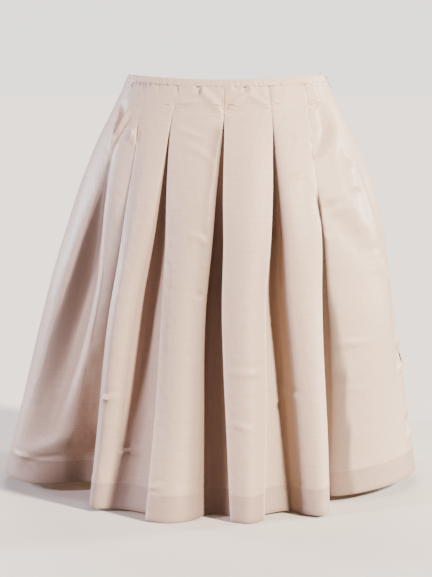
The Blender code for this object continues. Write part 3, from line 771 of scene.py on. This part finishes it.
def panel_cloth(back):
    """Grid of the cloth's middle with its map, and how near each point is to a crisp lip."""
    sizes = bpy.context.scene.skirt_sizes
    down, inside = panel_rows(sizes.turn_up)
    rows, places, lips = [], [], []
    sections = [fold_points(drop * MM) for drop in down]
    for drop, section in zip(down, sections):
        curve, lips = fold_curve(section)
        rows.append(on_oval(curve[:, 0] / arc_radius(drop * MM), curve[:, 1], drop * MM, back))
        places.append(curve[:, 0] / MM)
    grid = np.array(rows)
    place = np.array(places)
    drop = np.repeat(np.array(down)[:, None], place.shape[1], axis=1)
    height = relief(place, drop, back) + soft_waves(place, drop, back)
    grid = grid + grid_normals(grid) * (height * MM)[:, :, None]
    arc = np.array([run_along(row) for row in grid])
    middle = arc[:, [arc.shape[1] // 2]]
    uv = np.stack((arc - middle, drop * MM), axis=-1)
    lip_gap = np.min([np.abs(arc - arc[:, [lip]]) for lip in lips], axis=0)
    lip_gap = lip_gap + SEWN_EDGE_GAP * (1 - smooth_step((drop - SEAM_END) / SEWN_EDGE_FADE)) * MM
    # Painted shade of each row: how hidden the cloth is from the light, with the pleats' falloffs and the
    # shade bands
    hidden = np.array([painted_fold_shade(place[i], down[i], sections[i], shade_to_paint(row)) for i, row in enumerate(grid)])

    normals = grid_normals(grid)
    hem_row = len(down) - 1

    def inner_row(number, share):
        line, out = grid[number], normals[number]
        pulled = blur_along(line, arc[number], LAYER_BLUR * MM) - line
        inward = -np.sum(pulled * out, axis=1)
        ease = np.clip(inward / (0.3 * MM), 0.0, 1.0)[:, None]
        eased_normal = blur_along(out, arc[number], LAYER_BLUR * MM)
        gap = HEM_LAYER_GAP * MM * share
        return line + ease * (pulled * share - eased_normal * gap) + (1 - ease) * (-out * gap)

    extra = []
    for k in range(1, TURN_ROWS + 1):
        turn = math.pi * k / (TURN_ROWS + 1)
        row = inner_row(hem_row, (1 - math.cos(turn)) / 2)
        row[:, 2] -= math.sin(turn) * HEM_LAYER_GAP * MM / 2
        extra.append(row)
    for value in inside:
        number = int(np.argmin(np.abs(np.array(down) - value)))
        row = inner_row(number, 1.0)
        row[:, 2] -= (value - down[number]) * MM
        extra.append(row)
    steps = [uv[hem_row] + np.array((0.0, MAP_STEP * (k + 1))) for k in range(len(extra))]
    grid = np.concatenate((grid, np.array(extra)))
    uv = np.concatenate((uv, np.array(steps)))
    lip_gap = np.concatenate((lip_gap, np.repeat(lip_gap[[hem_row]], len(extra), axis=0)))
    hidden = np.concatenate((hidden, np.repeat(hidden[[hem_row]], len(extra), axis=0)))
    # fold_edge is a painted highlight, with a little paler wear, along the crisp lips; the other mark is the
    # painted shade in the pleats
    marks = {"fold_edge": np.exp(-(lip_gap / (FOLD_EDGE_WIDTH * MM)) ** 2), "shade_to_paint": hidden}
    return grid, uv, marks, down


def waist_cloth(back):
    """Grid of the waist strip's middle: up its outside, over the top and down its inside."""
    sizes = bpy.context.scene.skirt_sizes
    low = sizes.band / MM
    # Millimetres outward from the skirt's form and of drop
    profile = (
        (0.30, low + 0.2), (0.75, low - 0.5), (0.95, low * 0.72), (0.95, low * 0.45), (0.85, low * 0.2),
        (0.55, 0.5), (0.0, 0.1), (-0.55, 0.5), (-0.8, low * 0.3), (-0.8, low * 0.7), (-0.35, low),
    )
    radius = arc_radius(0.0)
    seam = SEAM_GAP / 2 / radius
    angle = np.linspace(-math.pi / 2, math.pi / 2, WAIST_COLUMNS) * (1 - 2 * seam / math.pi)
    place = angle * radius / MM
    rows, uv = [], []
    seed = 3.7 if back else 11.2
    slow = np.array([noise.noise(Vector((x / 19, 0.3, seed + 4))) for x in place])
    firm = np.clip(0.75 + 1.1 * slow, 0.15, 1.5)
    for number, (out, drop) in enumerate(profile):
        line = on_oval(angle, 0.0, drop * MM, back)
        half_width, half_depth, _ = oval(drop * MM, back)
        normal = plan_normals(angle, half_width, half_depth)
        if back:
            normal = -normal
        gather = np.array([noise.noise(Vector((x / 2.3, drop / 9, seed))) for x in place])
        low_share = min(drop / low, 1.0)
        ruffle = gather * firm * (0.35 + 0.65 * low_share) * sizes.gathers / MM
        line[:, :2] += normal * ((out + (ruffle if out > 0 else 0.4 * ruffle)) * MM)[:, None]
        line[:, 2] += (0.25 * gather * firm * low_share) * MM
        rows.append(line)
        uv.append(np.stack((place * MM, np.full(len(place), (number * WAIST_MAP_STEP) * MM)), axis=-1))
    return np.array(rows)[::-1], np.array(uv)[::-1]


def take_shape(thing):
    """Points and faces of a helper object, which is then removed."""
    mesh = thing.data
    points = np.array([vertex.co for vertex in mesh.vertices])
    faces = [tuple(face.vertices) for face in mesh.polygons]
    bpy.data.objects.remove(thing)
    bpy.data.meshes.remove(mesh)
    return points, faces


def one_stitch(length, thickness):
    """Points and faces of one stitch, modelled once: a short rounded length of thread."""
    deselect_all()
    bpy.ops.mesh.primitive_cylinder_add(vertices=6, radius=thickness / 2, depth=length,
                                        rotation=(0.0, math.pi / 2, 0.0))
    thing = bpy.context.active_object
    bpy.ops.object.transform_apply(location=False, rotation=True, scale=False)
    bpy.ops.object.mode_set(mode="EDIT")
    bpy.ops.mesh.select_all(action="SELECT")
    bpy.ops.mesh.bevel(offset=thickness * 0.22, segments=1, affect="EDGES")
    bpy.ops.object.mode_set(mode="OBJECT")
    points, faces = take_shape(thing)
    points[:, 2] -= (points[:, 0] / (length / 2)) ** 2 * thickness * 0.55
    return points, faces


def one_tooth():
    """Points and faces of one tooth of the zip."""
    deselect_all()
    bpy.ops.mesh.primitive_cube_add(size=1.0)
    block = bpy.context.active_object
    bpy.ops.object.mode_set(mode="EDIT")
    bpy.ops.mesh.select_all(action="SELECT")
    bpy.ops.transform.resize(value=TOOTH_SIZE)
    bpy.ops.mesh.bevel(offset=TOOTH_ROUNDING, segments=2, affect="EDGES")
    bpy.ops.object.mode_set(mode="OBJECT")
    return take_shape(block)


def lay_copies(name, shape, places):
    """One mesh of many copies of a shape: each place is its centre, direction and outward normal."""
    points, faces = shape
    vertices, all_faces = [], []
    for centre, along, out in places:
        along = along / np.linalg.norm(along)
        across = np.cross(out, along)
        across /= np.linalg.norm(across)
        up = np.cross(along, across)
        base = len(vertices)
        moved = centre + points[:, [0]] * along + points[:, [1]] * across + points[:, [2]] * up
        vertices += moved.tolist()
        all_faces += [tuple(base + v for v in face) for face in faces]
    thing = mesh_object(name, vertices, all_faces)
    make_active(thing)
    bpy.ops.object.shade_smooth_by_angle(angle=math.radians(50))
    return thing


def stitch_places(line, normals, step, lift):
    """Evenly spaced places along a line of points, lifted off the cloth."""
    run = run_along(line)
    places = []
    for at in np.arange(step, run[-1] - step, step):
        centre = np.array([np.interp(at, run, line[:, k]) for k in range(3)])
        ahead = np.array([np.interp(at + step / 4, run, line[:, k]) for k in range(3)])
        out = np.array([np.interp(at, run, normals[:, k]) for k in range(3)])
        size = np.linalg.norm(out)
        if size > 0.8:
            out /= size
            places.append((centre + out * lift, ahead - centre, out))
    return places


def side_depth(drop, angle):
    """Depth of the cloth beside the zip at one height, at an angle from the front."""
    curve, _ = fold_curve(fold_points(drop))
    angles = curve[:, 0] / arc_radius(drop)
    near = (angles * np.sign(angle)) > math.radians(55)
    order = np.argsort(np.abs(angles[near]))
    return float(np.interp(abs(angle), np.abs(angles[near])[order], curve[near][order, 1]))


def zip_tape_cloth(back):
    """Grid of half of the zip's tape, inside the side seam, with its map."""
    side = -1 if back else 1
    rows, uv = [], []
    for number, drop in enumerate([0.0, *np.linspace(0.0, ZIP_LENGTH, ZIP_TAPE_ROWS)]):
        tip = 0.0 if number else ZIP_TIP_RISE
        half_depth = oval(drop, back)[1]
        line, marks = [], []
        for step in range(ZIP_TAPE_COLUMNS):
            along = SEAM_GAP + ZIP_TAPE_WIDTH * step / (ZIP_TAPE_COLUMNS - 1)
            angle = side * (math.pi / 2 - along / half_depth)
            point = on_oval(np.array([angle]), side_depth(drop, angle) + TAPE_INWARD, drop, back)[0]
            point[2] = edge_heights(angle, drop, 0.0, back) + tip * (1 - step / ZIP_TAPE_COLUMNS)
            line.append(point)
            marks.append((along, drop - tip))
        if not back:
            line.reverse()
            marks.reverse()
        rows.append(line)
        uv.append(marks)
    return np.array(rows), np.array(uv)


def zip_teeth(step):
    """The closed zip's row of teeth, on the tapes' inner faces."""
    shape = one_tooth()
    places = []
    for number, drop in enumerate(np.arange(TEETH_START, ZIP_LENGTH - TEETH_END, step)):
        half_width, _, centre_x = oval(drop, False)
        height = edge_heights(math.pi / 2, drop, 0.0, False)
        centre = np.array((centre_x + half_width - TEETH_INWARD, 0.0, height))
        tilt = TOOTH_TILT if number % 2 else -TOOTH_TILT
        places.append((centre, np.array((0.0, 1.0, tilt)), np.array((-1.0, 0.0, 0.0))))
    return lay_copies("zip_teeth", shape, places)


def softened_copy(node):
    """A copy of a small metal solid with its edges rounded as casting leaves them."""
    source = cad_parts[node]
    mesh = source.data.copy()
    piece = bpy.data.objects.new(node + "_finished", mesh)
    bpy.context.collection.objects.link(piece)
    make_active(piece)
    bpy.ops.object.mode_set(mode="EDIT")
    bpy.ops.mesh.select_all(action="SELECT")
    bpy.ops.mesh.remove_doubles(threshold=0.00001)
    bpy.ops.mesh.tris_convert_to_quads()
    bpy.ops.object.mode_set(mode="OBJECT")
    edge = piece.modifiers.new("rounded", "BEVEL")
    edge.width = METAL_ROUNDING
    edge.segments = 2
    edge.limit_method = "ANGLE"
    edge.angle_limit = math.radians(35)
    bpy.ops.object.modifier_apply(modifier=edge.name)
    bpy.ops.object.shade_smooth_by_angle(angle=math.radians(40))
    return piece


# Materials

def fill(tree, node, settings):
    """Set a node's properties and inputs; an input may be another node's output."""
    for key, value in settings.items():
        if isinstance(key, str) and hasattr(node, key):
            setattr(node, key, value)
        elif isinstance(value, bpy.types.NodeSocket):
            tree.links.new(value, node.inputs[key])
        else:
            node.inputs[key].default_value = value


def add_node(tree, kind, settings=None):
    """Add a node with its properties and inputs."""
    node = tree.nodes.new(kind)
    fill(tree, node, settings or {})
    return node


def new_material(name):
    """An empty node material and its shader."""
    material = bpy.data.materials.new(name)
    material.use_nodes = True
    tree = material.node_tree
    tree.nodes.clear()
    shader = add_node(tree, "ShaderNodeBsdfPrincipled")
    add_node(tree, "ShaderNodeOutputMaterial", {"Surface": shader.outputs[0]})
    return material, tree, shader


def blend(tree, share, first, second):
    """Two colours, each a fixed one or a node's output, mixed by a share of the second."""
    node = add_node(tree, "ShaderNodeMix", {"data_type": "RGBA", "Factor": share})
    fill(tree, node, {6: first, 7: second})
    return node.outputs[2]


def stretched(tree, place, across, down):
    """A map scaled across and down."""
    return add_node(tree, "ShaderNodeMapping", {"Scale": (across, down, 1.0), "Vector": place}).outputs[0]


def mottle(tree, place, scale, detail, roughness=0.5):
    """A noise pattern."""
    return add_node(tree, "ShaderNodeTexNoise", {
        "Scale": scale, "Detail": detail, "Roughness": roughness, "Vector": place}).outputs["Fac"]


def ranged(tree, value, start, end, settings=None):
    """A value taken from one range to another."""
    node = add_node(tree, "ShaderNodeMapRange", {
        "Value": value, "From Min": start[0], "From Max": start[1], "To Min": end[0], "To Max": end[1]})
    fill(tree, node, settings or {})
    return node.outputs[0]


def bumped(tree, height, strength, distance, below=None):
    """A bump of a height in metres, over another bump where one is given."""
    node = add_node(tree, "ShaderNodeBump", {"Strength": strength, "Distance": distance, "Height": height})
    if below:
        fill(tree, node, {"Normal": below})
    return node.outputs[0]


def object_place(tree):
    """The object's own coordinates."""
    return add_node(tree, "ShaderNodeTexCoord").outputs["Object"]


def cloth_place(tree):
    """The cloth's map, in metres across and down."""
    return add_node(tree, "ShaderNodeUVMap", {"uv_map": "cloth"}).outputs[0]


def marked(tree, name):
    """A value that the cloth's points carry."""
    return add_node(tree, "ShaderNodeAttribute", {"attribute_name": name}).outputs["Fac"]


def taffeta_material():
    """Crisp plain-woven taffeta: a soft sheen, fine cross ribs and slubs, a paler worn fold edge with a
    painted highlight, and painted shade in the pleats.
    """
    colours = bpy.context.scene.skirt_colours
    material, tree, shader = new_material("champagne_taffeta")
    cloth_map = cloth_place(tree)
    # A slub is a thick place in the weft: about 2.4 mm high here and 55 mm long
    slub = mottle(tree, stretched(tree, cloth_map, 18.0, 420.0), 1.0, 3.0, 0.55)
    # Ribs are drawn 0.9 mm apart; the real threads are 0.15 mm apart and wouldn't show
    rib = add_node(tree, "ShaderNodeTexWave", {
        "bands_direction": "Y", "Scale": 0.32, "Distortion": 0.6, "Detail": 1.0, "Detail Scale": 0.4,
        "Vector": stretched(tree, cloth_map, 1100.0, 1100.0)}).outputs["Fac"]
    # Shallow dents of handled taffeta, 9 mm across and 17 mm high
    dent = mottle(tree, stretched(tree, cloth_map, 110.0, 60.0), 1.0, 2.0)
    shade = ranged(tree, slub, (0.3, 0.7), (0.0, 1.0))
    weave = blend(tree, shade, colours.taffeta, colours.weft)
    # The hem is two layers; over its band the colour is mixed towards a greyer brown
    hem_top = LENGTH - bpy.context.scene.skirt_sizes.turn_up
    down_cloth = add_node(tree, "ShaderNodeSeparateXYZ", {0: cloth_map}).outputs[1]
    hem = ranged(tree, down_cloth, (hem_top, hem_top + 0.0015), (0.0, 0.5))
    hem_greyed = blend(tree, hem, weave, linear("#AD978D"))
    # Painted highlight along the crisp lips, where the light catches them, over a little paler wear of the
    # folded edges
    wear_and_highlight = add_node(tree, "ShaderNodeMath", {"operation": "MULTIPLY", 0: marked(tree, "fold_edge"), 1: 0.85})
    edged = blend(tree, wear_and_highlight.outputs[0], hem_greyed, linear("#FFFAF6"))
    # Painted shade: where folds keep the light away the colour is mixed towards a deeper brown
    painted_shade = ranged(tree, marked(tree, "shade_to_paint"), (0.22, 0.85), (0.0, 0.92),
                  {"interpolation_type": "SMOOTHSTEP"})
    fine = bumped(tree, rib, 0.25, 0.00012)
    slubbed = bumped(tree, slub, 0.18, 0.0002, fine)
    fill(tree, shader, {
        "Base Color": blend(tree, painted_shade, edged, linear("#A08B7F")),
        "Roughness": ranged(tree, slub, (0.0, 1.0), (0.40, 0.52)),
        "Sheen Weight": 0.10, "Sheen Roughness": 0.35, "IOR": 1.52,
        "Normal": bumped(tree, dent, 0.6, 0.0012, slubbed)})
    return material


def thread_material():
    """Spun polyester sewing thread: matt, with the twist of its plies."""
    colours = bpy.context.scene.skirt_colours
    material, tree, shader = new_material("sewing_thread")
    ply = add_node(tree, "ShaderNodeTexWave", {
        "bands_direction": "DIAGONAL", "Scale": 900.0, "Distortion": 1.0,
        "Vector": object_place(tree)}).outputs["Fac"]
    fill(tree, shader, {
        "Base Color": blend(tree, ply, colours.thread, linear("#DDD0C7")), "Roughness": 0.7,
        "Normal": bumped(tree, ply, 0.4, 0.0001)})
    return material


def tape_material():
    """Knitted polyester zip tape: matt, with upright ribs 1.1 mm apart."""
    colours = bpy.context.scene.skirt_colours
    material, tree, shader = new_material("zip_tape_knit")
    cloth_map = cloth_place(tree)
    rib = add_node(tree, "ShaderNodeTexWave", {
        "bands_direction": "X", "Scale": 1.0, "Distortion": 0.3,
        "Vector": stretched(tree, cloth_map, 285.0, 285.0)}).outputs["Fac"]
    ribbed = bumped(tree, rib, 0.5, 0.0002)
    fill(tree, shader, {
        "Base Color": blend(tree, rib, linear("#CFC1B7"), colours.tape), "Roughness": 0.78,
        "Normal": bumped(tree, mottle(tree, cloth_map, 1600.0, 2.0), 0.3, 0.0001, ribbed)})
    return material


def teeth_material():
    """Moulded polyester zip teeth: smooth, cream and slightly glossy."""
    material, tree, shader = new_material("zip_teeth_polyester")
    tone = blend(tree, mottle(tree, object_place(tree), 700.0, 2.0), linear("#DCCFC3"), linear("#EAE0D6"))
    fill(tree, shader, {"Base Color": tone, "Roughness": 0.38})
    return material


def metal_material():
    """Die-cast zinc under cream lacquer: satin, a little uneven, as small zip hardware is."""
    colours = bpy.context.scene.skirt_colours
    material, tree, shader = new_material("lacquered_zinc")
    cast = mottle(tree, object_place(tree), 900.0, 3.0)
    fill(tree, shader, {
        "Base Color": blend(tree, cast, colours.metal, linear("#CFC0B2")),
        "Roughness": ranged(tree, cast, (0.0, 1.0), (0.26, 0.42)), "Metallic": 0.35,
        "Normal": bumped(tree, cast, 0.15, 0.0001)})
    return material


def floor_material():
    """Matt painted board."""
    colours = bpy.context.scene.skirt_colours
    material, tree, shader = new_material("painted_floor")
    tone = blend(tree, mottle(tree, object_place(tree), 6.0, 3.0), colours.floor, linear("#E2DFDB"))
    fill(tree, shader, {"Base Color": tone, "Roughness": 0.8})
    return material


def shared_material(name, maker):
    """A material that several pieces share, made when it is first asked for."""
    return bpy.data.materials.get(name) or maker()


# Pieces

class SKIRT_OT_stage(bpy.types.Operator):
    """Add the floor, the soft studio lights and the camera at the photo's angle"""

    bl_idname = "skirt.stage"
    bl_label = "Stage"

    def execute(self, context):
        lowest = CAD_BOX[0][2]
        deselect_all()
        bpy.ops.mesh.primitive_circle_add(
            vertices=96, radius=30.0, fill_type="NGON", location=(0, 0, lowest - 0.0012))
        floor = context.active_object
        floor.name = "floor"
        # The photo has no floor under the skirt, so this one throws no light back up into the pleats
        floor.visible_diffuse = False
        floor.visible_glossy = False
        floor.data.materials.append(shared_material("painted_floor", floor_material))
        world = bpy.data.worlds.new("studio")
        world.use_nodes = True
        tree = world.node_tree
        tree.nodes.clear()
        # The backdrop looks pale, and sends little light into the pleats
        seen = add_node(tree, "ShaderNodeLightPath").outputs["Is Camera Ray"]
        soft = add_node(tree, "ShaderNodeBackground", {"Color": linear("#F4EEEA"), "Strength": 0.08})
        pale = add_node(tree, "ShaderNodeBackground", {"Color": linear("#E9E6E2"), "Strength": 2.6})
        both = add_node(tree, "ShaderNodeMixShader", {0: seen, 1: soft.outputs[0], 2: pale.outputs[0]})
        add_node(tree, "ShaderNodeOutputWorld", {"Surface": both.outputs[0]})
        context.scene.world = world
        for light in LIGHTS:
            deselect_all()
            turn, rise = math.radians(light.azimuth), math.radians(light.elevation)
            flat = math.cos(rise)
            towards = Vector((math.sin(turn) * flat, -math.cos(turn) * flat, math.sin(rise)))
            bpy.ops.object.light_add(type="SUN", location=Vector((0.0, 0.0, -0.3)) + towards * 3.0)
            lamp = context.active_object
            lamp.name = light.name
            lamp.data.energy = light.strength
            lamp.data.angle = math.radians(light.softness)
            lamp.data.color = linear(light.colour)[:3]
            lamp.rotation_euler = towards.to_track_quat("Z", "Y").to_euler()
        deselect_all()
        bpy.ops.object.camera_add(
            location=CAMERA_AT, rotation=(math.radians(90 - CAMERA_DOWN), 0.0, math.radians(CAMERA_LEFT)))
        camera = context.active_object
        camera.name = "photo_camera"
        camera.data.lens = CAMERA_LENS
        camera.data.sensor_width = CAMERA_FRAME
        camera.data.clip_start = 0.1
        camera.data.clip_end = 100.0
        context.scene.camera = camera
        return {"FINISHED"}


class SKIRT_OT_panels(bpy.types.Operator):
    """Make the pleated front and back panels with their turned-up hems and hem stitches"""

    bl_idname = "skirt.panels"
    bl_label = "Pleated panels"

    def execute(self, context):
        sizes = context.scene.skirt_sizes
        taffeta = shared_material("champagne_taffeta", taffeta_material)
        thread = shared_material("sewing_thread", thread_material)
        shape = one_stitch(sizes.stitch, sizes.thread)
        for side, back in SIDES:
            grid, uv, marks, down = panel_cloth(back)
            normals = grid_normals(grid)
            hem_seam = (LENGTH - sizes.turn_up) / MM
            row = int(np.argmin(np.abs(np.array(down) - hem_seam)))
            lift = sizes.cloth / 2 + sizes.thread * 0.2
            stitches = lay_copies(
                f"hem_stitches_{side}", shape,
                stitch_places(grid[row], normals[row], sizes.stitch_step, lift))
            dress(stitches, "skirt", thread)
            cloth = grid_object(f"pleated_{side}", grid, uv, marks)
            thicken(cloth, sizes.cloth)
            dress(cloth, "skirt", taffeta, [f"{side}_panel"])
        return {"FINISHED"}


class SKIRT_OT_waist(bpy.types.Operator):
    """Make the puckered waist strip and its stitch line"""

    bl_idname = "skirt.waist"
    bl_label = "Waist strip"

    def execute(self, context):
        sizes = context.scene.skirt_sizes
        taffeta = shared_material("champagne_taffeta", taffeta_material)
        thread = shared_material("sewing_thread", thread_material)
        shape = one_stitch(sizes.stitch * 0.8, sizes.thread)
        for side, back in SIDES:
            grid, uv = waist_cloth(back)
            line = grid[-2] * 0.6 + grid[-3] * 0.4
            normals = grid_normals(grid)[-2]
            lift = sizes.cloth / 2 + sizes.thread * 0.15
            stitches = lay_copies(
                f"waist_stitches_{side}", shape,
                stitch_places(line, normals, sizes.stitch_step * 0.8, lift))
            dress(stitches, "skirt", thread)
            plain = np.zeros(grid.shape[:2])
            # The waist strip carries no painted highlight and no painted shade
            strip = grid_object(f"gathered_strip_{side}", grid, uv, {"fold_edge": plain, "shade_to_paint": plain})
            thicken(strip, sizes.cloth)
            dress(strip, "skirt", taffeta, [f"waist_strip_{side}"])
        return {"FINISHED"}


class SKIRT_OT_zip(bpy.types.Operator):
    """Make the concealed zip's tapes and teeth, and finish its slider and pull"""

    bl_idname = "skirt.zip"
    bl_label = "Concealed zip"

    def execute(self, context):
        sizes = context.scene.skirt_sizes
        tape_finish = shared_material("zip_tape_knit", tape_material)
        metal = shared_material("lacquered_zinc", metal_material)
        for side, back in SIDES:
            grid, uv = zip_tape_cloth(back)
            tape = grid_object(f"tape_{side}", grid, uv)
            thicken(tape, ZIP_TAPE_THICKNESS)
            dress(tape, "skirt", tape_finish, [f"zip_tape_{side}"])
        teeth = zip_teeth(sizes.tooth_step)
        dress(teeth, "skirt", shared_material("zip_teeth_polyester", teeth_material))
        for node, body in (("zip_slider", "skirt"), ("zip_pull", "pull")):
            piece = softened_copy(node)
            dress(piece, body, metal, [node])
        return {"FINISHED"}


class SKIRT_PT_pieces(bpy.types.Panel):
    """Sizes, colours and pieces of the skirt"""

    bl_idname = "SKIRT_PT_pieces"
    bl_label = "Full Skirt"
    bl_space_type = "VIEW_3D"
    bl_region_type = "UI"
    bl_category = "Skirt"

    def draw(self, context):
        layout = self.layout
        for group, names in ((context.scene.skirt_sizes, SkirtSizes.__annotations__),
                             (context.scene.skirt_colours, SkirtColours.__annotations__)):
            for name in names:
                layout.prop(group, name)
        for operator in OPERATORS:
            layout.operator(operator.bl_idname)


OPERATORS = (SKIRT_OT_stage, SKIRT_OT_panels, SKIRT_OT_waist, SKIRT_OT_zip)
CLASSES = (SkirtSizes, SkirtColours, *OPERATORS, SKIRT_PT_pieces)


def register():
    """Make the add-on's classes and settings known."""
    for item in CLASSES:
        bpy.utils.register_class(item)
    bpy.types.Scene.skirt_sizes = PointerProperty(type=SkirtSizes)
    bpy.types.Scene.skirt_colours = PointerProperty(type=SkirtColours)


def unregister():
    """Take the add-on's classes and settings away."""
    del bpy.types.Scene.skirt_colours
    del bpy.types.Scene.skirt_sizes
    for item in reversed(CLASSES):
        bpy.utils.unregister_class(item)


def main():
    """Build the stage and every piece."""
    register()
    bpy.ops.skirt.stage()
    bpy.ops.skirt.panels()
    bpy.ops.skirt.waist()
    bpy.ops.skirt.zip()


if __name__ == "__main__":
    main()
